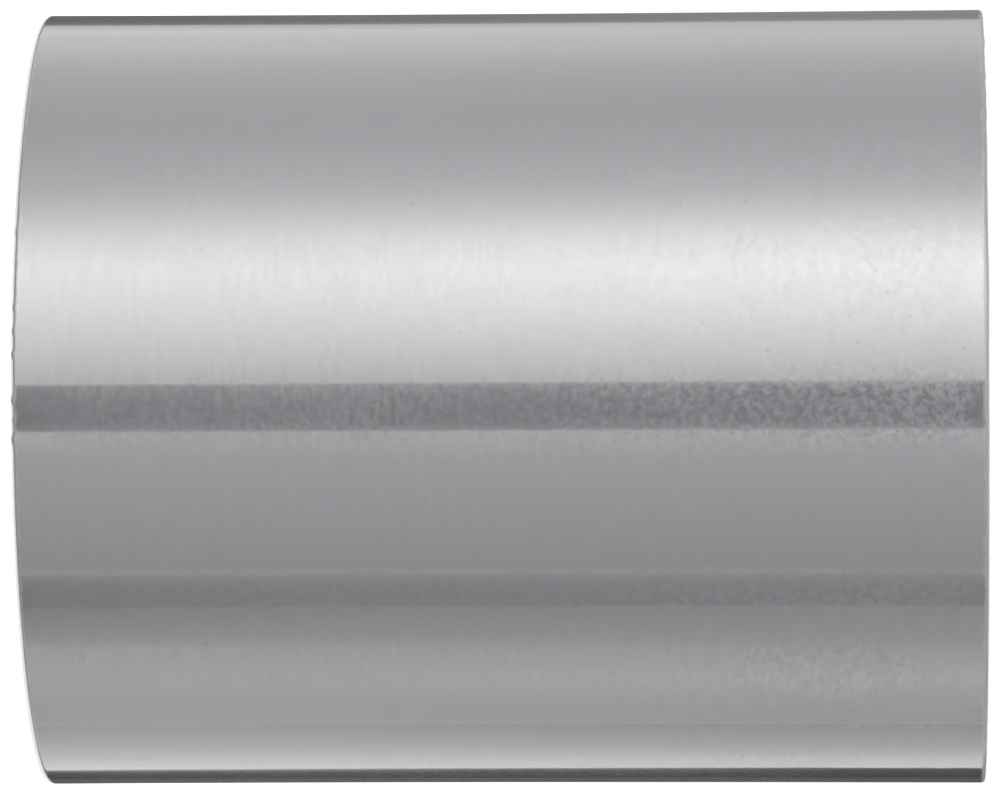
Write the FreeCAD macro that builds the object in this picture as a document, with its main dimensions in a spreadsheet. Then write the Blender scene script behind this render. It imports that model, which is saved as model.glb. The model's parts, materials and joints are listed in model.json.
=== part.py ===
import FreeCAD, Part
import Sketcher
import os

# A plain pipe coupling with two solvent-weld sockets, moulded in one piece of rigid plastic.
# The body's own origin is the middle of the stop ring and its Z axis is the waterway.
# Its placement lifts it until the lower end face stands on z = 0, at the row's origin.

doc = FreeCAD.newDocument("PipeCoupling")

# Driving sizes in millimetres: name, value, what it is
driving_sizes = [
    ("seat_diameter", 48.26, "parallel inner part of the socket, the pipe's own outside"),
    ("mouth_widening", 0.46, "how much wider the socket is at its end face than at its seat"),
    ("taper_depth", 17.5, "how far in the socket narrows from its mouth to its seat"),
    ("socket_depth", 34.93, "end face to the stop ring's shoulder"),
    ("wall_thickness", 5.37, "sleeve's wall at the mouth, before the bevel"),
    ("stop_width", 2.38, "thickness of the ring that both pipes butt against"),
    ("stop_height", 3.63, "how far the stop ring stands in from the seat"),
    ("mouth_bevel", 0.9, "lead-in on the inner edge of each end face"),
    ("rim_rounding", 0.4, "radius on the outer edge of each end face"),
    ("root_bevel", 0.5, "inner corner where the stop ring's shoulder meets the socket"),
    ("stop_edge_bevel", 0.4, "inner edges of the stop ring"),
]

# Sizes that follow from the driving ones
derived_sizes = [
    ("mouth_diameter", "=seat_diameter + mouth_widening", "socket at its end face"),
    ("outer_diameter", "=mouth_diameter + 2 * wall_thickness", "outside of the sleeve"),
    ("waterway_diameter", "=seat_diameter - 2 * stop_height", "clear way through the stop ring"),
    ("half_length", "=socket_depth + stop_width / 2", "middle of the stop ring to an end face"),
    ("overall_length", "=2 * half_length", "end face to end face"),
]

sizes = doc.addObject("Spreadsheet::Sheet", "Sizes")
for row, (name, value, meaning) in enumerate(driving_sizes + derived_sizes, start=1):
    sizes.set(f"A{row}", name)
    sizes.set(f"B{row}", str(value))
    sizes.set(f"C{row}", meaning)
    sizes.setAlias(f"B{row}", name)
doc.recompute()

body = doc.addObject("PartDesign::Body", "coupling_body")
body.Label = "coupling_body"
body.Placement = FreeCAD.Placement(FreeCAD.Vector(0, 0, sizes.half_length), FreeCAD.Rotation())
body.setExpression("Placement.Base.z", "Sizes.half_length")


def origin_feature(role):
    """The body's own origin plane or axis with this role."""
    return next(f for f in body.Origin.OriginFeatures if f.Role == role)


def new_sketch(name, plane_role):
    """An empty sketch lying on one of the body's origin planes."""
    sketch = body.newObject("Sketcher::SketchObject", name)
    sketch.AttachmentSupport = [(origin_feature(plane_role), "")]
    sketch.MapMode = "FlatFace"
    return sketch


def bind(sketch, constraint, name, expression):
    """Adds a constraint to the sketch, names it and ties its value to the sheet."""
    index = sketch.addConstraint(constraint)
    sketch.renameConstraint(index, name)
    sketch.setExpression(f"Constraints.{name}", expression)


def circle_sketch(name, alias):
    """A sketch across the waterway with one circle on its axis, as wide as the named size."""
    sketch = new_sketch(name, "XY_Plane")
    diameter = sizes.getPropertyByName(alias)
    sketch.addGeometry(Part.Circle(FreeCAD.Vector(), FreeCAD.Vector(0, 0, 1), diameter / 2))
    sketch.addConstraint(Sketcher.Constraint("Coincident", 0, 3, -1, 1))
    bind(sketch, Sketcher.Constraint("Diameter", 0, diameter), alias, f"Sizes.{alias}")
    return sketch


def ring_edges(shape, diameter, height):
    """Names of the circular edges of this diameter that lie this far above and below the middle."""
    found = []
    for number, edge in enumerate(shape.Edges, start=1):
        if not isinstance(edge.Curve, Part.Circle):
            continue
        same_size = abs(2 * edge.Curve.Radius - diameter) < 1e-4
        same_height = abs(abs(edge.Curve.Center.z) - height) < 1e-4
        if same_size and same_height:
            found.append(f"Edge{number}")
    return found


def treat_edges(kind, name, size_property, alias, diameter, height):
    """Rounds or bevels one pair of edges, the same at both ends, by the named size."""
    base = body.Tip
    feature = body.newObject(kind, name)
    feature.Base = (base, ring_edges(base.Shape, diameter, height))
    feature.setExpression(size_property, f"Sizes.{alias}")
    base.Visibility = False
    doc.recompute()
    return feature


# The solid sleeve, half of it each side of the middle
barrel = body.newObject("PartDesign::Pad", "barrel")
barrel.Profile = circle_sketch("barrel_outline", "outer_diameter")
barrel.SideType = "Symmetric"
barrel.setExpression("Length", "Sizes.overall_length")
doc.recompute()

# The waterway, which leaves the stop ring's bore between the sockets
waterway = body.newObject("PartDesign::Pocket", "waterway")
waterway.Profile = circle_sketch("waterway_outline", "waterway_diameter")
waterway.Type = "ThroughAll"
waterway.SideType = "Symmetric"
doc.recompute()

# Half section of the upper socket: floor on the stop's shoulder, parallel seat, then the taper to the mouth
socket_section = new_sketch("socket_section", "XZ_Plane")
floor_z = sizes.stop_width / 2
taper_z = sizes.half_length - sizes.taper_depth
corners = [
    FreeCAD.Vector(0, floor_z),
    FreeCAD.Vector(sizes.seat_diameter / 2, floor_z),
    FreeCAD.Vector(sizes.seat_diameter / 2, taper_z),
    FreeCAD.Vector(sizes.mouth_diameter / 2, sizes.half_length),
    FreeCAD.Vector(0, sizes.half_length),
]
floor, seat, taper, mouth, axis_line = range(len(corners))
for corner, following in zip(corners, corners[1:] + corners[:1]):
    socket_section.addGeometry(Part.LineSegment(corner, following))
for line in (floor, seat, taper, mouth, axis_line):
    socket_section.addConstraint(
        Sketcher.Constraint("Coincident", line, 2, (line + 1) % len(corners), 1)
    )
socket_section.addConstraint(Sketcher.Constraint("Horizontal", floor))
socket_section.addConstraint(Sketcher.Constraint("Vertical", seat))
socket_section.addConstraint(Sketcher.Constraint("Horizontal", mouth))
socket_section.addConstraint(Sketcher.Constraint("PointOnObject", floor, 1, -2))
socket_section.addConstraint(Sketcher.Constraint("PointOnObject", axis_line, 1, -2))
bind(
    socket_section,
    Sketcher.Constraint("DistanceY", -1, 1, floor, 1, floor_z),
    "floor_height",
    "Sizes.stop_width / 2",
)
bind(
    socket_section,
    Sketcher.Constraint("DistanceY", -1, 1, mouth, 1, sizes.half_length),
    "mouth_height",
    "Sizes.half_length",
)
bind(
    socket_section,
    Sketcher.Constraint("DistanceY", taper, 1, taper, 2, sizes.taper_depth),
    "taper_depth",
    "Sizes.taper_depth",
)
bind(
    socket_section,
    Sketcher.Constraint("DistanceX", floor, 1, floor, 2, sizes.seat_diameter / 2),
    "seat_radius",
    "Sizes.seat_diameter / 2",
)
bind(
    socket_section,
    Sketcher.Constraint("DistanceX", -1, 1, mouth, 1, sizes.mouth_diameter / 2),
    "mouth_radius",
    "Sizes.mouth_diameter / 2",
)

upper_socket = body.newObject("PartDesign::Groove", "upper_socket")
upper_socket.Profile = socket_section
upper_socket.ReferenceAxis = (socket_section, ["V_Axis"])
upper_socket.Angle = 360
doc.recompute()

# The lower socket is the upper one mirrored in the middle of the stop ring
lower_socket = body.newObject("PartDesign::Mirrored", "lower_socket")
lower_socket.Originals = [upper_socket]
lower_socket.MirrorPlane = (origin_feature("XY_Plane"), [""])
body.Tip = lower_socket
doc.recompute()

# Edges, each treated alike at both ends
treat_edges(
    "PartDesign::Chamfer", "root_bevels", "Size", "root_bevel",
    sizes.seat_diameter, sizes.stop_width / 2,
)
treat_edges(
    "PartDesign::Chamfer", "stop_edge_bevels", "Size", "stop_edge_bevel",
    sizes.waterway_diameter, sizes.stop_width / 2,
)
treat_edges(
    "PartDesign::Chamfer", "mouth_bevels", "Size", "mouth_bevel",
    sizes.mouth_diameter, sizes.half_length,
)
treat_edges(
    "PartDesign::Fillet", "rim_roundings", "Radius", "rim_rounding",
    sizes.outer_diameter, sizes.half_length,
)
doc.recompute()

for feature in doc.Objects:
    if "Invalid" in feature.State or "Error" in feature.State:
        raise RuntimeError(f"{feature.Name} did not compute: {feature.State}")

os.makedirs("parts", exist_ok=True)
for piece in [body]:
    if piece.Shape.isNull() or not piece.Shape.isValid():
        raise RuntimeError(f"{piece.Label} has no valid shape")
    piece.Shape.exportStep(f"parts/{piece.Label}.step")
    box = piece.Shape.BoundBox
    print(
        f"{piece.Label}: {len(piece.Shape.Solids)} solid, {piece.Shape.Volume / 1000:.2f} cm3, "
        f"{box.XLength:.2f} x {box.YLength:.2f} x {box.ZLength:.2f} mm, z from {box.ZMin:.3f}"
    )
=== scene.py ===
import json
import math
import random
import bmesh
import bpy
from mathutils import Matrix, Vector


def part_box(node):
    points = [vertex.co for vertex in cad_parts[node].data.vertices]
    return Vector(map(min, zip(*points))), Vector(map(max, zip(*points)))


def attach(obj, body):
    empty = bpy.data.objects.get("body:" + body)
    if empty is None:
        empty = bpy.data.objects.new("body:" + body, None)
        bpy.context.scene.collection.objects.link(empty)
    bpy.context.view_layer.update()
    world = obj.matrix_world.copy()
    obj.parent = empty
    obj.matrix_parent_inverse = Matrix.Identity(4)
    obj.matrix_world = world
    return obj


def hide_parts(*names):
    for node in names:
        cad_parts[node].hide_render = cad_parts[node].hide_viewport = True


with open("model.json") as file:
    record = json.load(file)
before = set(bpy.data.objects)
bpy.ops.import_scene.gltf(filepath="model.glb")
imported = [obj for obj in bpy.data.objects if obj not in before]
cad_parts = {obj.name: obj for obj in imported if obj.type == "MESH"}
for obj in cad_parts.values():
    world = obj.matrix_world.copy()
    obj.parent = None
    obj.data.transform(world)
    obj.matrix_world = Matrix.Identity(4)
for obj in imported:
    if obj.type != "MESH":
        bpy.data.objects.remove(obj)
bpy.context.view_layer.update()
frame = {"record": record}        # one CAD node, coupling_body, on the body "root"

lowCorner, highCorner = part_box("coupling_body")
millimetre = 0.001
outerRadius = (highCorner.x - lowCorner.x) / 2 / millimetre     # mm from here on
fullLength = (highCorner.z - lowCorner.z) / millimetre
seatRadius = frame["record"]["mounts"][0]["dims"]["r_mm"]
print("frame: radius %.2f mm, length %.2f mm" % (outerRadius, fullLength))


# Shader maths

class Wire:
    # one output socket that can stand in a Python sum; every operator adds its Math node
    def __init__(self, nodes, socket):
        self.nodes = nodes
        self.socket = socket

    def maths(self, operation, *terms):
        return self.nodes.add("ShaderNodeMath", {"operation": operation}, dict(enumerate(terms)))

    def __add__(self, other):
        return self.maths("ADD", self, other)

    def __sub__(self, other):
        return self.maths("SUBTRACT", self, other)

    def __rsub__(self, other):
        return self.maths("SUBTRACT", other, self)

    def __mul__(self, other):
        return self.maths("MULTIPLY", self, other)

    def __truediv__(self, other):
        return self.maths("DIVIDE", self, other)

    def __rtruediv__(self, other):
        return self.maths("DIVIDE", other, self)

    def __neg__(self):
        return self.maths("MULTIPLY", self, -1.0)

    def __abs__(self):
        return self.maths("ABSOLUTE", self)

    __radd__ = __add__
    __rmul__ = __mul__

    def largest(self, other):
        return self.maths("MAXIMUM", self, other)

    def smallest(self, other):
        return self.maths("MINIMUM", self, other)


class Nodes:
    # the node tree of one material or of the world
    def __init__(self, owner):
        owner.use_nodes = True
        self.tree = owner.node_tree
        self.tree.nodes.clear()

    def add(self, kind, settings=None, inputs=None, output=0):
        node = self.tree.nodes.new(kind)
        for name, value in (settings or {}).items():
            if name == "stops":
                self.setStops(node.color_ramp, value)
            else:
                setattr(node, name, value)
        for name, value in (inputs or {}).items():
            self.fill(node.inputs[name], value)
        return Wire(self, node.outputs[output]) if len(node.outputs) else node

    def fill(self, socket, value):
        if isinstance(value, Wire):
            self.tree.links.new(value.socket, socket)
        else:
            socket.default_value = value

    def setStops(self, ramp, stops):
        while len(ramp.elements) < len(stops):
            ramp.elements.new(0.5)
        for element, (place, level) in zip(ramp.elements, stops):
            element.position = place
            element.color = (level, level, level, 1.0)

    def smooth(self, value, start, end, low=0.0, high=1.0):
        settings = {"interpolation_type": "SMOOTHSTEP", "clamp": True}
        return self.add("ShaderNodeMapRange", settings, {0: value, 1: start, 2: end, 3: low, 4: high})

    def noise(self, place, scale, detail, roughness):
        inputs = {"Vector": place, "Scale": scale, "Detail": detail, "Roughness": roughness}
        return self.add("ShaderNodeTexNoise", {}, inputs)

    def ramp(self, value, stops):
        return self.add("ShaderNodeValToRGB", {"stops": stops}, {0: value})

    def stretch(self, place, factors):
        return self.add("ShaderNodeVectorMath", {"operation": "MULTIPLY"}, {0: place, 1: factors})

    def brighten(self, light, level):
        return self.add("ShaderNodeVectorMath", {"operation": "SCALE"}, {0: light, "Scale": level})

    def blend(self, share, colour, other):
        # 6 and 7 are the Mix node's colours, and 2 is its colour output
        return self.add("ShaderNodeMix", {"data_type": "RGBA"}, {0: share, 6: colour, 7: other}, 2)

    def distance(self, place, other):
        return self.add("ShaderNodeVectorMath", {"operation": "DISTANCE"}, {0: place, 1: other}, "Value")

    def part(self, place, axis):
        return self.add("ShaderNodeSeparateXYZ", {}, {0: place}, axis)

    def seenShare(self):
        # 1 for rays from the camera and for mirrored or refracted ones, 0 for the rays that light things
        path = "ShaderNodeLightPath"
        camera = self.add(path, output="Is Camera Ray")
        glossy = self.add(path, output="Is Glossy Ray")
        through = self.add(path, output="Is Transmission Ray")
        return camera.largest(glossy).largest(through)


def link(thing):
    bpy.context.scene.collection.objects.link(thing)
    return thing


# Camera

camera = {
    "distance": 21.835,       # from the coupling's axis, in outer radii
    "height": 2.1604,         # above the end it stands on, in outer radii
    "turn": 2.591,            # down towards the lower end, degrees
    "tilt": -0.0141,          # across the axis, degrees
    "roll": -0.2211,          # degrees, on top of the quarter turn that lays the axis level
    "focalPixels": 8418.6,    # focal length in pixels of the picture
    "middleColumn": 500.0,
    "middleRow": 396.0,
    "sensorWidth": 36.0,      # mm
    "clip": (0.01, 50.0),     # m, the nearest and the furthest that it sees
}


def axisTurn(angle, axis):
    return Matrix.Rotation(math.radians(angle), 3, axis)


# the camera's right, down and forward, with the coupling's axis along the picture's width
turned = axisTurn(camera["roll"], "Z") @ axisTurn(camera["tilt"], "X") @ axisTurn(camera["turn"], "Y")
rightWay, downWay, forwardWay = (Vector((row.y, row.z, row.x)) for row in turned)
eye = Vector((0.0, -camera["distance"], camera["height"])) * outerRadius


def makeCamera():
    data = bpy.data.cameras.new("camera")
    data.sensor_width = camera["sensorWidth"]
    data.lens = camera["focalPixels"] / (2 * camera["middleColumn"]) * camera["sensorWidth"]
    data.clip_start, data.clip_end = camera["clip"]
    shot = link(bpy.data.objects.new("camera", data))
    pose = Matrix((rightWay, -downWay, -forwardWay)).transposed().to_4x4()
    pose.translation = eye * millimetre
    shot.matrix_world = pose
    bpy.context.scene.camera = shot


def wallPoint(column, row):
    # where the view ray through a place in the picture meets the outside of the wall, mm
    across = (column - camera["middleColumn"]) / camera["focalPixels"]
    down = (row - camera["middleRow"]) / camera["focalPixels"]
    ray = (across * rightWay + down * downWay + forwardWay).normalized()
    squared = ray.x ** 2 + ray.y ** 2
    along = (eye.x * ray.x + eye.y * ray.y) / squared
    beyond = (eye.x ** 2 + eye.y ** 2 - outerRadius ** 2) / squared
    return eye + (-along - math.sqrt(along ** 2 - beyond)) * ray


def wallAzimuth(column, row):
    point = wallPoint(column, row)
    return math.degrees(math.atan2(point.x, -point.y))


makeCamera()
print("camera: made")


# Stage: a floor, a ring of soft boxes that only mirrored rays see, two lamps and the sky

stage = {
    "cardDistance": 500.0,    # mm, the soft boxes from the axis
    "cardBottom": -400.0,     # mm
    "cardTop": 260.0,         # mm
    "cardMiddle": 16.0,       # mm, the height about which an edge leans
    "cardSeen": (-40.0, 71.0),      # mm, the stretch of a card that the coupling mirrors to the camera
    "cardStep": 2.0,          # degrees between a curved card's edges
    "axisRow": 397.65,        # picture row of the coupling's axis
    "outermost": 0.99999,     # share of the outline's half angle at which a view ray still meets the wall
    "floorSize": 12.0,        # m
    "floorWhite": 0.80,
    "floorLift": 0.64,        # added where the camera or a mirrored ray sees the floor
    "skyLevel": 0.50,         # what the world gives to light things by
    "coolLight": (0.992, 1.0, 1.014, 1.0),      # a soft box's colour where it is dim
    "warmLight": (1.0, 1.006, 0.985, 1.0),      # and where it is bright
    "warmFrom": (6.0, 13.0),  # the levels between which it turns, unless a card has a light of its own
}

lamps = {
    "overheadBox": {"size": 0.9, "place": (0.0, 0.0, 0.9), "watts": 3.5},
    "keyBox": {"size": 0.5, "place": (-0.55, -0.70, 0.75), "watts": 3.6},
}

# The soft boxes are cards. Each has its edges and inner levels by the picture row in which the coupling
# mirrors them: row, level, and the share by which the level rises from the foot of the mirrored stretch to
# its head. Level 2 is as bright as white. The lean is how far the first and last edge turn from foot to head,
# degrees. The dark cards stand a little nearer, by so many mm. One card has a colour of its own, its light.
cards = {
    "keyCard": {"lean": (0.0, 0.0), "levels": [
        (14, 1.4, 0.0), (21, 1.87, 0.1), (28, 3.3, -0.22), (35, 3.6, -0.07), (46, 4.1, -0.10),
        (70, 4.05, -0.09), (106, 3.9, -0.09), (130, 4.15, -0.02), (166, 5.35, 0.0), (190, 6.55, 0.03),
        (214, 9.3, 0.09), (238, 12.9, 0.14), (268, 15.5, 0.11), (304, 13.2, 0.11), (340, 10.4, 0.05),
        (373, 8.0, 0.05), (379, 7.5, 0.02), (400, 5.4, 0.0),
    ]},
    "frontFill": {"lean": (0.0, 0.0), "levels": [
        (415, 6.2, 0.0), (430, 6.0, 0.0), (440, 5.7, 0.04), (460, 4.45, 0.0), (514, 3.7, -0.05),
        (566, 3.1, -0.05), (571, 3.7, 0.0), (590, 2.8, 0.0),
    ]},
    "sideFill": {"lean": (0.0, 0.0), "levels": [
        (591, 2.45, 0.18), (606, 2.45, 0.18), (632, 3.15, 0.03), (641, 3.5, -0.07), (649, 4.4, -0.15),
        (680, 5.0, 0.06), (694, 4.4, -0.03), (700, 4.1, -0.06),
    ]},
    "footFill": {"lean": (0.0, 0.0), "light": (1.006, 1.0, 0.99), "levels": [
        (700, 4.1, -0.06), (716, 3.48, -0.16), (720.5, 4.4, 0.06), (727, 2.93, -0.34), (733, 3.22, -0.24),
        (752, 3.75, -0.15), (760, 4.05, -0.02), (767, 3.85, -0.10), (775, 3.85, -0.18),
    ]},
    "gapCard": {"lean": (-2.0, -0.3), "near": 12.0, "levels": [
        (382.2, 3.5, 0.20), (387, 2.1, 0.0), (396, 1.55, -0.15), (409, 1.3, -0.14), (417, 1.2, 0.0),
        (425, 1.6, 0.20), (430, 2.95, 0.05),
    ]},
    "stripCard": {"lean": (0.0, 0.0), "near": 12.0, "levels": [
        (574.5, 2.9, 0.0), (578, 2.45, 0.0), (583, 1.95, 0.0), (592, 1.7, 0.0), (606.3, 1.6, 0.0),
    ]},
    "rearCard": {"lean": (-5.6, -2.0), "near": 12.0, "levels": [
        (769.3, 2.25, -0.58), (769.9, 1.15, -1.3), (770.6, 0.55, -1.4), (771.7, 0.20, -1.4),
        (773.5, 0.05, -1.6), (778.0, 0.02, -1.8), (779.6, 0.20, -0.3), (781.5, 0.20, -0.3),
        (14.0, 0.46, 0.75), (17.5, 0.47, 0.85), (19.8, 0.63, 0.7), (21.35, 1.1, 0.4),
    ]},
}

# A disc under the ring of cards, which the rounding of the lower rim mirrors
footCard = {"height": -400.0, "radius": 520.0, "sides": 48, "level": 2.4}


def mirroredAzimuth(row):
    # where the view ray through this picture row lands on the ring of cards, from -Y towards +X, radians
    start = Vector((0.0, -camera["distance"] * outerRadius))
    slope = math.atan((row - stage["axisRow"]) / camera["focalPixels"])
    edge = math.asin(1 / camera["distance"]) * stage["outermost"]
    slope = max(-edge, min(edge, slope))
    ray = Vector((math.sin(slope), math.cos(slope)))
    nearest = -start.dot(ray)
    reach = nearest - math.sqrt(nearest ** 2 - start.length_squared + outerRadius ** 2)
    point = start + reach * ray
    normal = point.normalized()
    mirrored = ray - 2 * ray.dot(normal) * normal
    along = point.dot(mirrored)
    travel = -along + math.sqrt(along ** 2 - point.length_squared + stage["cardDistance"] ** 2)
    hit = point + travel * mirrored
    return math.atan2(hit.x, -hit.y)


def mirroredOnly(card):
    # a thing that only mirrored rays meet
    for ray in ("camera", "diffuse", "shadow", "transmission", "volume_scatter"):
        setattr(card, "visible_" + ray, False)


def glowMaterial(name, halfLevel, light=None):
    # halfLevel takes the node tree and gives half the level: 1 shines as a white surface does
    material = bpy.data.materials.new(name)
    material.cycles.emission_sampling = "NONE"
    nodes = Nodes(material)
    level = halfLevel(nodes)
    if light is None:
        warmth = nodes.smooth(level, *(edge / 2 for edge in stage["warmFrom"]))
        light = nodes.blend(warmth, stage["coolLight"], stage["warmLight"])
    glow = nodes.add("ShaderNodeEmission", inputs={"Color": nodes.brighten(light, level)})
    nodes.add("ShaderNodeOutputMaterial", inputs={"Surface": glow})
    return material


def cardAzimuths(levels):
    azimuths = [mirroredAzimuth(row) for row, level, rise in levels]
    for i in range(1, len(azimuths)):
        if azimuths[i] < azimuths[i - 1]:
            azimuths[i] += 2 * math.pi        # past the far side of the ring
    return azimuths


def cardMesh(name, half, radius, lean):
    # part of an upright ring about the card's own -Y
    count = max(2, math.ceil(math.degrees(half * 2) / stage["cardStep"]) + 1)
    points = []
    for step in range(count):
        share = step / (count - 1)
        for height in (stage["cardBottom"], stage["cardTop"]):
            upright = (height - stage["cardMiddle"]) / (stage["cardTop"] - stage["cardBottom"])
            turn = math.radians(lean[0] * (1 - share) + lean[1] * share) * upright
            angle = half * (2 * share - 1) + turn
            point = Vector((radius * math.sin(angle), -radius * math.cos(angle), height))
            points.append(point * millimetre)
    mesh = bpy.data.meshes.new(name)
    mesh.from_pydata(points, [], [(2 * i, 2 * i + 2, 2 * i + 3, 2 * i + 1) for i in range(count - 1)])
    along = mesh.attributes.new("along", "FLOAT", "POINT")
    for i, entry in enumerate(along.data):
        entry.value = (i // 2) / (count - 1)
    return mesh


def cardHalfLevel(nodes, places, levels):
    # a ramp's colours stay between 0 and 1, so levels and rises are scaled into it and back
    share = nodes.add("ShaderNodeAttribute", {"attribute_name": "along"}, output="Fac")
    up = nodes.part(nodes.add("ShaderNodeTexCoord", output="Object"), "Z")
    foot, head = (height * millimetre for height in stage["cardSeen"])
    upright = nodes.smooth(up, foot, head, -0.5, 0.5)
    peak = max(level for row, level, rise in levels)
    levelStops = [(place, level / peak) for place, (row, level, rise) in zip(places, levels)]
    result = nodes.ramp(share, levelStops) * (peak / 2)
    steepest = max(abs(rise) for row, level, rise in levels)
    if steepest > 0:
        riseStops = [(place, 0.5 + rise / steepest / 2) for place, (row, level, rise) in zip(places, levels)]
        rises = (nodes.ramp(share, riseStops) - 0.5) * (2 * steepest)
        result = result * (1 + upright * rises)
    return result


def makeCard(name, levels, lean, near=0.0, light=None):
    azimuths = cardAzimuths(levels)
    middle = (azimuths[0] + azimuths[-1]) / 2
    half = (azimuths[-1] - azimuths[0]) / 2
    places = [(azimuth - middle) / half / 2 + 0.5 for azimuth in azimuths]
    mesh = cardMesh(name, half, stage["cardDistance"] - near, lean)
    card = link(bpy.data.objects.new(name, mesh))
    card.rotation_euler.z = middle
    mirroredOnly(card)
    mesh.materials.append(glowMaterial(name, lambda nodes: cardHalfLevel(nodes, places, levels), light))


def makeFootCard():
    radius = footCard["radius"] * millimetre
    turns = [2 * math.pi * i / footCard["sides"] for i in range(footCard["sides"])]
    points = [(radius * math.cos(t), radius * math.sin(t), footCard["height"] * millimetre) for t in turns]
    mesh = bpy.data.meshes.new("footCard")
    mesh.from_pydata(points, [], [tuple(range(footCard["sides"]))])
    mirroredOnly(link(bpy.data.objects.new("footCard", mesh)))
    mesh.materials.append(glowMaterial("footCard", lambda nodes: footCard["level"] / 2))


def makeFloor():
    half = stage["floorSize"] / 2
    mesh = bpy.data.meshes.new("floor")
    corners = [(-half, -half, 0), (half, -half, 0), (half, half, 0), (-half, half, 0)]
    mesh.from_pydata(corners, [], [(0, 1, 2, 3)])
    floor = link(bpy.data.objects.new("floor", mesh))
    floor.visible_glossy = False        # the foot of the wall mirrors the cards, as in the picture
    material = bpy.data.materials.new("floorPaint")
    nodes = Nodes(material)
    white = (stage["floorWhite"],) * 3 + (1.0,)
    paint = nodes.add("ShaderNodeBsdfDiffuse", inputs={"Color": white})
    lift = nodes.add("ShaderNodeEmission", inputs={"Strength": nodes.seenShare() * stage["floorLift"]})
    surface = nodes.add("ShaderNodeAddShader", inputs={0: paint, 1: lift})
    nodes.add("ShaderNodeOutputMaterial", inputs={"Surface": surface})
    mesh.materials.append(material)


def makeSky():
    world = bpy.data.worlds.new("studio")
    bpy.context.scene.world = world
    nodes = Nodes(world)
    seen = nodes.seenShare()
    strength = seen + (1 - seen) * stage["skyLevel"]
    sky = nodes.add("ShaderNodeBackground", inputs={"Strength": strength, "Color": (1.0, 1.0, 1.0, 1.0)})
    nodes.add("ShaderNodeOutputWorld", inputs={"Surface": sky})


def makeLamp(name, size, place, watts):
    data = bpy.data.lights.new(name, "AREA")
    data.size = size
    data.energy = watts
    lamp = link(bpy.data.objects.new(name, data))
    lamp.location = place
    target = Vector((0.0, 0.0, fullLength / 2 * millimetre))
    lamp.rotation_euler = (target - lamp.location).to_track_quat("-Z", "Y").to_euler()


for cardName, card in cards.items():
    makeCard(cardName, **card)
makeFootCard()
makeFloor()
makeSky()
for lampName, lamp in lamps.items():
    makeLamp(lampName, **lamp)
bpy.context.scene.view_settings.view_transform = "Standard"
print("stage: cards, floor, sky and lamps made")


# The coupling's moulded wall, all in millimetres

wall = {
    "azimuthStep": 0.5,        # degrees between the mesh's edges round the wall
    "wallRows": 10,            # edges up half the outside
    "roundSteps": 5,           # edges over a rounded rim
    "edgeSteps": 2,            # edges over a smaller rounding
    "supportGap": 0.12,        # keeps a flat stretch's shading flat beside a round one
    "faceSupports": (0.3, 0.6),     # edges on the end face, in from the rim's rounding, for the same reason
    "inset": 0.055,            # the outside of the foot within the CAD one
    "flare": 0.04,             # how much less of it there is at the head
    "waist": 0.075,            # how far the outside draws in half way up
    "bow": 0.0025,             # share by which it is shorter to the left and right than front and back
    "outsideDepth": 1.0,       # how deep under the outside the flare, the waist and the parting line reach
    "mouthBevel": 0.9,
    "edgeRounding": 0.12,      # on the bevels' and the stop ring's edges
    "mouthRadius": 24.36,
    "taperDepth": 17.5,
    "socketDepth": 34.93,
    "waterwayRadius": 20.5,
    "rootBevel": 0.5,
    "stopEdgeBevel": 0.4,
    "coreLine": 0.05,          # ridge where the two core pins met in the waterway
}

# The two end rims: how round, how high their highest flash stands over the end face, and its fine grain
rims = {
    "upper": {"rounding": 0.28, "flash": 0.06, "grain": 0.02, "seed": 4},
    "lower": {"rounding": 0.24, "flash": 0.16, "grain": 0.02, "seed": 9},
}
flashReach = {"acrossFace": 0.5, "downRounding": 0.8}      # mm, and as a share of the rounding
grainWaves = (17, 29, 43, 71, 97)         # how many waves of each kind go round a rim

# Bumps of flash that the picture shows: row, height as a share of the rim's flash, width in mm
upperFlash = [
    (38, 0.9, 0.9), (73, 0.8, 0.6), (92, 0.8, 1.2), (110, 0.8, 1.2), (146, 0.6, 1.5), (290, 0.6, 3.0),
]
lowerFlash = [
    (230, 0.4, 0.3), (306, 0.55, 0.35), (330, 0.6, 0.35), (354, 0.95, 0.30), (400, 1.0, 0.32),
    (421, 0.3, 0.25), (440, 0.8, 0.40),
]
upperColumn, lowerColumn = 986, 14        # picture columns of the two rims
flashRows = (290, 452)                    # rows between which the lower rim gets finer edges
flashStep = 0.2                           # degrees between those

# A few more on the sides that it hides: azimuths in degrees, heights and widths as above
hiddenFlash = {"count": 14, "azimuths": (88, 272), "heights": (0.2, 0.9), "widths": (0.4, 1.6)}

# The mould's parting line along the wall, with another opposite
mouldLine = {
    "row": 720.5,              # where the picture shows it, at the middle column
    "height": 0.011,           # mm
    "width": 0.12,             # mm
    "reach": 1.4,              # degrees each side that get finer edges
    "fineStep": 0.14,          # degrees
}
mouldAzimuth = wallAzimuth(camera["middleColumn"], mouldLine["row"])
flashStart, flashEnd = (wallAzimuth(lowerColumn, row) for row in flashRows)
wallRadius = outerRadius - wall["inset"]


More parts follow.
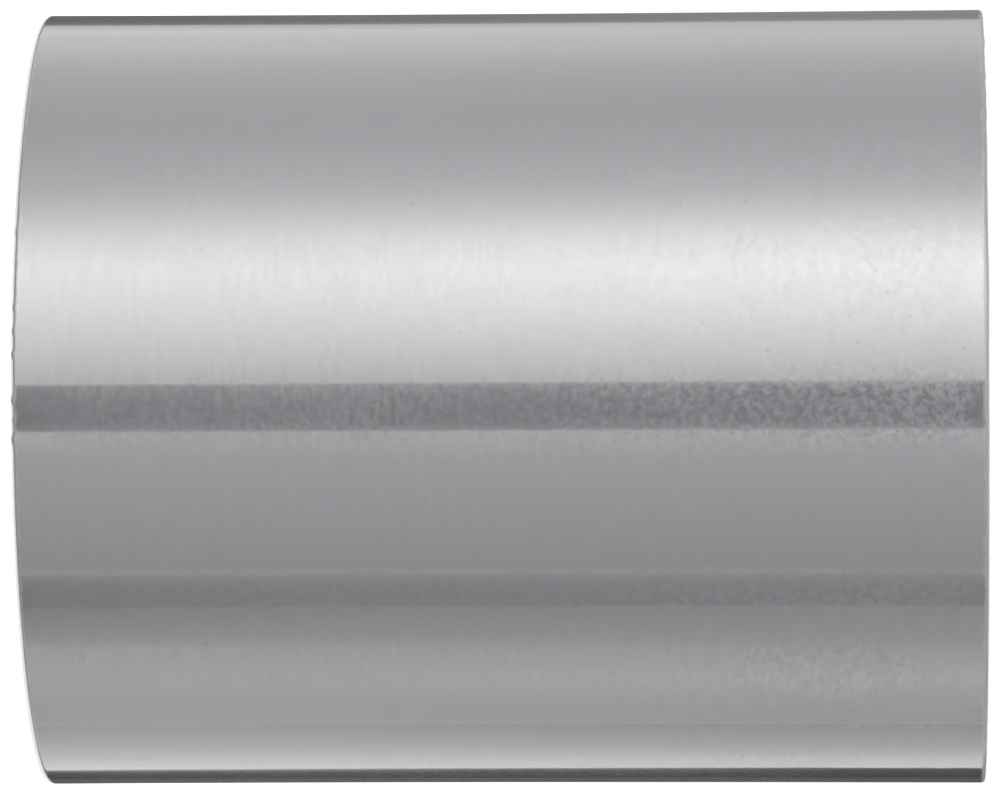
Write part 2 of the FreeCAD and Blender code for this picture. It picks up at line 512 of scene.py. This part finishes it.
def roundedPath(corners):
    # a polyline through (radius, height, rounding) corners, each rounded by an arc
    path = []
    for before, corner, after in zip(corners, corners[1:], corners[2:]):
        here = Vector(corner[:2])
        rounding = corner[2]
        if rounding == 0:
            path.append(here)
            continue
        back = Vector(before[:2]) - here
        ahead = Vector(after[:2]) - here
        turn = math.pi - back.angle(ahead)
        trim = rounding * math.tan(turn / 2)
        start = here + back.normalized() * trim
        end = here + ahead.normalized() * trim
        room = min(back.length, ahead.length) / 3
        support = min(wall["supportGap"], room)
        path.append(start + back.normalized() * support)
        weight = math.cos(turn / 2)
        steps = wall["roundSteps"] if rounding > wall["edgeRounding"] else wall["edgeSteps"]
        for step in range(steps + 1):
            # a rational arc from start to end with the corner as its control point
            share = step / steps
            parts = ((1 - share) ** 2, 2 * weight * share * (1 - share), share ** 2)
            path.append((parts[0] * start + parts[1] * here + parts[2] * end) / sum(parts))
        path.append(end + ahead.normalized() * support)
    return path


def halfSection(rim):
    # from half way up the outside, round the rim and down the socket to the waterway; the middle is height 0
    half = fullLength / 2 - rim["flash"]
    rimEdge = wallRadius - rim["rounding"]
    mouth, bevel = wall["mouthRadius"], wall["mouthBevel"]
    stopTop = fullLength / 2 - wall["socketDepth"]
    taper = (mouth - seatRadius) / wall["taperDepth"]
    edge = wall["edgeRounding"]
    corners = [
        (wallRadius, 0.0, 0.0),
        (wallRadius, half, rim["rounding"]),
        *((rimEdge - support, half, 0.0) for support in wall["faceSupports"]),
        (mouth + bevel, half, edge),
        (mouth - taper * bevel, half - bevel, edge),
        (seatRadius, half - wall["taperDepth"], edge),
        (seatRadius, stopTop + wall["rootBevel"], edge),
        (seatRadius - wall["rootBevel"], stopTop, edge),
        (wall["waterwayRadius"] + wall["stopEdgeBevel"], stopTop, edge),
        (wall["waterwayRadius"], stopTop - wall["stopEdgeBevel"], edge),
        (wall["waterwayRadius"], 0.0, 0.0),
    ]
    path = roundedPath(corners)
    rows = wall["wallRows"]
    outside = [Vector((wallRadius, path[0].y * i / rows)) for i in range(1, rows)]
    return outside + path


def sectionPoints():
    # the closed section: the upper half, the core pins' ridge, the lower half and the outside's middle
    upper = halfSection(rims["upper"])
    lower = [Vector((p.x, -p.y)) for p in reversed(halfSection(rims["lower"]))]
    ridge = Vector((wall["waterwayRadius"] - wall["coreLine"], 0.0))
    return upper + [ridge] + lower + [Vector((wallRadius, 0.0))]


def turnBetween(azimuth, other):
    return (azimuth - other + 180) % 360 - 180


def azimuthList():
    angles = []
    angle = -180.0
    while angle < 180.0:
        angles.append(angle)
        toLine = min(abs(turnBetween(angle, mouldAzimuth + side)) for side in (0, 180))
        step = wall["azimuthStep"]
        if toLine < mouldLine["reach"] + step:
            step = mouldLine["fineStep"]
        elif flashStart - step < angle < flashEnd:
            step = flashStep
        angle += step
    return angles


def flashBumps(shown, column, seed):
    # the bumps that the picture shows, and a few more on the sides that it hides
    bumps = [(wallAzimuth(column, row), height, width) for row, height, width in shown]
    rng = random.Random(seed)
    for i in range(hiddenFlash["count"]):
        bumps.append(tuple(rng.uniform(*hiddenFlash[key]) for key in ("azimuths", "heights", "widths")))
    return bumps


def rimLift(azimuth, rim, bumps):
    # how far the rim's edge stands out at this azimuth, from 0 to the rim's flash
    lift = 0.0
    for middle, height, width in bumps:
        away = math.radians(turnBetween(azimuth, middle)) * outerRadius / width
        lift = max(lift, height * math.exp(-away ** 2))
    phase = math.radians(azimuth)
    waves = sum(math.sin(phase * k + k * k) for k in grainWaves) / len(grainWaves)
    return min(rim["flash"], lift * rim["flash"] + rim["grain"] * (0.5 + 0.5 * waves))


def mouldRidge(azimuth):
    ridge = 0.0
    for side in (0, 180):
        away = math.radians(turnBetween(azimuth, mouldAzimuth + side)) * outerRadius / mouldLine["width"]
        ridge += mouldLine["height"] * math.exp(-away ** 2)
    return ridge


def rimShare(point, rim):
    # 1 on the rim's own edge, falling to 0 down the wall and across the face
    half = fullLength / 2 - rim["flash"]
    inward = wallRadius - rim["rounding"] - point.x
    below = half - abs(point.y)
    across = max(0.0, 1 - max(inward, 0.0) / flashReach["acrossFace"])
    down = max(0.0, 1 - below / (rim["rounding"] * flashReach["downRounding"]))
    return across * down


def makeWall():
    section = sectionPoints()
    azimuths = azimuthList()
    bumps = {
        "upper": flashBumps(upperFlash, upperColumn, rims["upper"]["seed"]),
        "lower": flashBumps(lowerFlash, lowerColumn, rims["lower"]["seed"]),
    }
    shape = bmesh.new()
    rings = []
    for azimuth in azimuths:
        angle = math.radians(azimuth)
        lifts = {name: rimLift(azimuth, rims[name], bumps[name]) for name in rims}
        ridge = mouldRidge(azimuth)
        bow = 1 - wall["bow"] * math.sin(angle) ** 2
        ring = []
        for point in section:
            end = "upper" if point.y > 0 else "lower"
            radius, height = point.x, point.y
            upright = 2 * height / fullLength
            shift = ridge + wall["flare"] * (1 + upright) / 2 - wall["waist"] * (1 - upright ** 2)
            radius += shift * max(0.0, 1 - (wallRadius - radius) / wall["outsideDepth"])
            height += math.copysign(lifts[end] * rimShare(point, rims[end]), height)
            height = fullLength / 2 + height * bow
            place = Vector((radius * math.sin(angle), -radius * math.cos(angle), height))
            ring.append(shape.verts.new(place * millimetre))
        rings.append(ring)
    for ring, following in zip(rings, rings[1:] + rings[:1]):
        for i in range(len(ring)):
            j = (i + 1) % len(ring)
            shape.faces.new((ring[i], following[i], following[j], ring[j]))
    bmesh.ops.recalc_face_normals(shape, faces=shape.faces)
    mesh = bpy.data.meshes.new("coupling_wall")
    shape.to_mesh(mesh)
    shape.free()
    mesh.shade_smooth()
    piece = link(bpy.data.objects.new("coupling_wall", mesh))
    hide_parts("coupling_body")
    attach(piece, "root")
    counts = (len(section), len(azimuths), len(mesh.polygons))
    print("wall: %d section points, %d azimuths, %d faces" % counts)
    return piece


# Its grey plastic, in millimetres too. A noise is its scale per mm, its detail and its roughness. Where there
# is a stretch as well, that has the scales per mm, round the wall and up it.

plastic = {
    "grey": (0.164, 0.168, 0.177, 1.0),
    "whitened": (0.27, 0.275, 0.285, 1.0),     # where rubbing has whitened it
    # painted shade, the dark put in pits and in the scuffs' hollows
    "shadeDark": (0.05, 0.05, 0.05, 1.0),         # in pits and between the scuffs
    "ior": 1.54,
    "specular": 0.94,
    "polished": 0.045,             # roughness of the outside where it is clean
    "dulled": 0.26,                # and of the haze that lies over it in spots
    "inside": 0.32,                # roughness of the sockets and end faces
    "skin": (0.6, 0.2),            # mm under the outside, where the polish starts and is full
    "peelNoise": (1.1, 1.0, 0.5),             # soft orange peel
    "peelHeight": 0.0016,          # mm
    "grainNoise": (3.5, 1.0, 0.5),
    "grainHeight": 0.0005,         # mm
    "toolStretch": (0.05, 0.05, 5.0),         # fine rings that the core pins left in the sockets
    "toolNoise": (1.0, 0.0, 0.5),
    "toolHeight": 0.0025,          # mm
}

# The haze that dulls the outside: spots, and below mid height mostly streaks round the wall
hazeLook = {
    "spotNoise": (2.0, 2.0, 0.65),
    "spotContrast": 7.8,
    "spotSpan": (20.0, 68.0),      # mm up the wall, over which the spots grow stronger,
    "spotStrengths": (0.5, 1.0),   # from the first strength to the second
    "streakStretch": (0.80, 0.80, 3.2),
    "streakNoise": (1.0, 2.0, 0.6),
    "streakContrast": 4.4,
    "streakStrength": 1.2,         # less that of the spots
    "driftNoise": (0.12, 1.0, 0.5),           # slow changes in how much there is
    "edgeOn": (0.5, 0.74),         # how far the wall is turned away where the haze fades, 1 is edge on
    "grazingSpan": (50.0, 64.0),   # mm up the wall, over which what is left of it edge on goes
    "grazingShares": (0.34, 0.05),            # from the first share to the second
}

# How much haze lies on the wall at each height in mm: thin at both ends, thickest in a belt near the top
hazeByHeight = [
    (0.0, 0.06), (2.0, 0.18), (7.0, 0.33), (23.0, 0.40), (33.0, 0.34), (42.0, 0.35), (51.0, 0.41),
    (60.0, 0.44), (66.0, 0.54), (69.8, 0.52), (71.4, 0.20),
]

# A thin clear film on the outside, streaked round the wall, which shows in the brightest reflection
filmLook = {
    "stretch": (0.45, 0.45, 3.0),
    "noise": (1.0, 1.5, 0.6),
    "share": 0.12,                 # how much of the outside it covers
    "contrast": 0.50,
    "edgeOn": (0.25, 0.5),         # how far the wall is turned away where it fades
}

# The worn edge of each rim
rimWear = {
    "fromEnd": (0.58, 0.28),       # mm from the end, where the wear starts and is full
    "underOutside": (1.0, 0.5),    # mm under the outside, the same
    "raggedNoise": (0.9, 2.0, 0.6),
    "raggedDepth": 0.55,           # mm
    "haze": 0.8,
    "roughness": 0.55,
    "whitening": 0.75,
}

# Two scuffed patches: column and row of the middle, half the height up the wall and half the width round it
scuffPatches = [(822, 671, 8.8, 3.9), (786, 760, 7.2, 2.8)]
scuff = {
    "edge": (0.55, 1.05),          # where a patch starts to fade and ends, as shares of its halves
    "stretch": (1.2, 1.2, 2.4),
    "noise": (1.0, 1.0, 0.5),
    "contrast": 2.4,
    "whitening": 0.6,
    # how dark the painted shade in the scuffs' hollows is
    "shadeStrength": 0.65,
    "depth": 0.0025,               # mm
    "haze": 0.20,
}

# Small pits, darkened with painted shade by their depth, and three bulges whose depth is below 0: column,
# row, radius and depth in mm
pits = [
    (767, 351, 0.42, 0.007), (858, 343, 0.34, 0.006), (850, 317, 0.26, 0.005), (888, 293, 0.34, 0.005),
    (920, 248, 0.38, 0.006), (702, 323, 0.32, 0.006), (695, 333, 0.24, 0.005), (680, 202, 0.40, 0.005),
    (745, 200, 0.34, 0.005), (837, 364, 0.28, 0.005), (910, 317, 0.26, 0.005), (963, 348, 0.28, 0.005),
    (202, 248, 0.34, 0.006), (412, 202, 0.38, 0.005), (425, 320, 0.28, 0.006), (460, 332, 0.28, 0.005),
    (270, 91, 0.45, -0.006), (343, 40, 0.35, -0.006), (207, 643, 0.40, 0.006), (143, 626, 0.26, -0.008),
]
# the pits' painted shade: full black at this depth, lighter in shallower pits
fullShadeDepth = 0.015        # mm, how deep a pit is when it is black inside


def hazeShare(nodes, place, height, turnedAway):
    spots = nodes.noise(place, *hazeLook["spotNoise"]) - 0.5
    streaks = nodes.noise(nodes.stretch(place, hazeLook["streakStretch"]), *hazeLook["streakNoise"]) - 0.5
    spotStrength = nodes.smooth(height, *hazeLook["spotSpan"], *hazeLook["spotStrengths"])
    uneven = spots * hazeLook["spotContrast"] * spotStrength
    uneven = uneven + streaks * hazeLook["streakContrast"] * (hazeLook["streakStrength"] - spotStrength)
    amount = nodes.ramp(height / fullLength, [(h / fullLength, share) for h, share in hazeByHeight])
    amount = amount * (0.5 + nodes.noise(place, *hazeLook["driftNoise"]))
    grazing = nodes.smooth(height, *hazeLook["grazingSpan"], *hazeLook["grazingShares"])
    return (amount * (1 + uneven)).largest(0.0) * nodes.smooth(turnedAway, *hazeLook["edgeOn"], 1.0, grazing)


def clearFilm(nodes, place, turnedAway):
    uneven = nodes.noise(nodes.stretch(place, filmLook["stretch"]), *filmLook["noise"]) - 0.5
    share = (filmLook["share"] + uneven * filmLook["contrast"]).largest(0.0)
    return share * nodes.smooth(turnedAway, *filmLook["edgeOn"], 1.0, 0.0)


def wornRims(nodes, place, height, radius):
    ragged = (nodes.noise(place, *rimWear["raggedNoise"]) - 0.5) * rimWear["raggedDepth"]
    fromEnd = fullLength / 2 - abs(height - fullLength / 2) + ragged
    worn = nodes.smooth(fromEnd, *rimWear["fromEnd"])
    return worn * nodes.smooth(radius, *(outerRadius - depth for depth in rimWear["underOutside"]))


def scuffedShare(nodes, place):
    patch = 0.0
    for column, row, halfHeight, halfWidth in scuffPatches:
        centre = wallPoint(column, row)
        shrink = (1 / halfWidth, 1 / halfWidth, 1 / halfHeight)
        away = nodes.distance(nodes.stretch(place, shrink), tuple(c * s for c, s in zip(centre, shrink)))
        patch = nodes.smooth(away, *scuff["edge"], 1.0, 0.0) + patch
    return patch


def pitDepth(nodes, place):
    dents = 0.0
    for column, row, size, depth in pits:
        away = nodes.distance(place, tuple(wallPoint(column, row)))
        dents = nodes.smooth(away, 0.0, size, depth, 0.0) + dents
    return dents


def plasticMaterial():
    material = bpy.data.materials.new("greyPlastic")
    nodes = Nodes(material)
    place = nodes.stretch(nodes.add("ShaderNodeTexCoord", output="Object"), (1 / millimetre,) * 3)
    height = nodes.part(place, "Z")
    radius = nodes.distance(nodes.stretch(place, (1.0, 1.0, 0.0)), (0.0, 0.0, 0.0))
    outside = nodes.smooth(radius, *(outerRadius - depth for depth in plastic["skin"]))
    turnedAway = nodes.add("ShaderNodeLayerWeight", {}, {"Blend": 0.5}, "Facing")
    patch = scuffedShare(nodes, place)
    worms = nodes.noise(nodes.stretch(place, scuff["stretch"]), *scuff["noise"])
    worn = wornRims(nodes, place, height, radius)
    dents = pitDepth(nodes, place)

    # gloss
    haze = (hazeShare(nodes, place, height, turnedAway) + patch * worms * scuff["haze"]) * outside
    haze = haze.largest(worn * rimWear["haze"]).smallest(1.0)
    clean = plastic["inside"] + outside * (plastic["polished"] - plastic["inside"])
    dulled = plastic["dulled"] + worn * (rimWear["roughness"] - plastic["dulled"])
    film = clearFilm(nodes, place, turnedAway) * outside

    # relief, in millimetres
    rings = nodes.noise(nodes.stretch(place, plastic["toolStretch"]), *plastic["toolNoise"]) * (1 - outside)
    relief = nodes.noise(place, *plastic["peelNoise"]) * plastic["peelHeight"]
    relief = relief + nodes.noise(place, *plastic["grainNoise"]) * plastic["grainHeight"]
    relief = relief + patch * worms * scuff["depth"] + rings * plastic["toolHeight"] - dents
    bump = nodes.add("ShaderNodeBump", inputs={"Height": relief, "Distance": millimetre, "Strength": 1.0})

    # colour: whitened where rubbed or worn, with painted shade in pits and in the scuffs' hollows
    # high in the scuffs' relief it is whitened by rubbing, low in it it gets painted shade
    rubbedAndShaded = patch * (worms - 0.5) * scuff["contrast"]
    whitening = rubbedAndShaded * scuff["whitening"] + worn * rimWear["whitening"]
    colour = nodes.blend(whitening, plastic["grey"], plastic["whitened"])
    # painted shade: darker in pits by their depth and in the hollows of the scuffed relief
    shadeShare = (-rubbedAndShaded * scuff["shadeStrength"]).largest(dents / fullShadeDepth)
    colour = nodes.blend(shadeShare, colour, plastic["shadeDark"])

    finishes = [
        nodes.add("ShaderNodeBsdfPrincipled", inputs={
            "Base Color": colour,
            "Roughness": roughness,
            "IOR": plastic["ior"],
            "Specular IOR Level": plastic["specular"],
            "Coat Weight": film,
            "Normal": bump,
        })
        for roughness in (clean, dulled)
    ]
    surface = nodes.add("ShaderNodeMixShader", inputs={0: haze, 1: finishes[0], 2: finishes[1]})
    nodes.add("ShaderNodeOutputMaterial", inputs={"Surface": surface})
    return material


piece = makeWall()
piece.data.materials.append(plasticMaterial())
print("material: made")
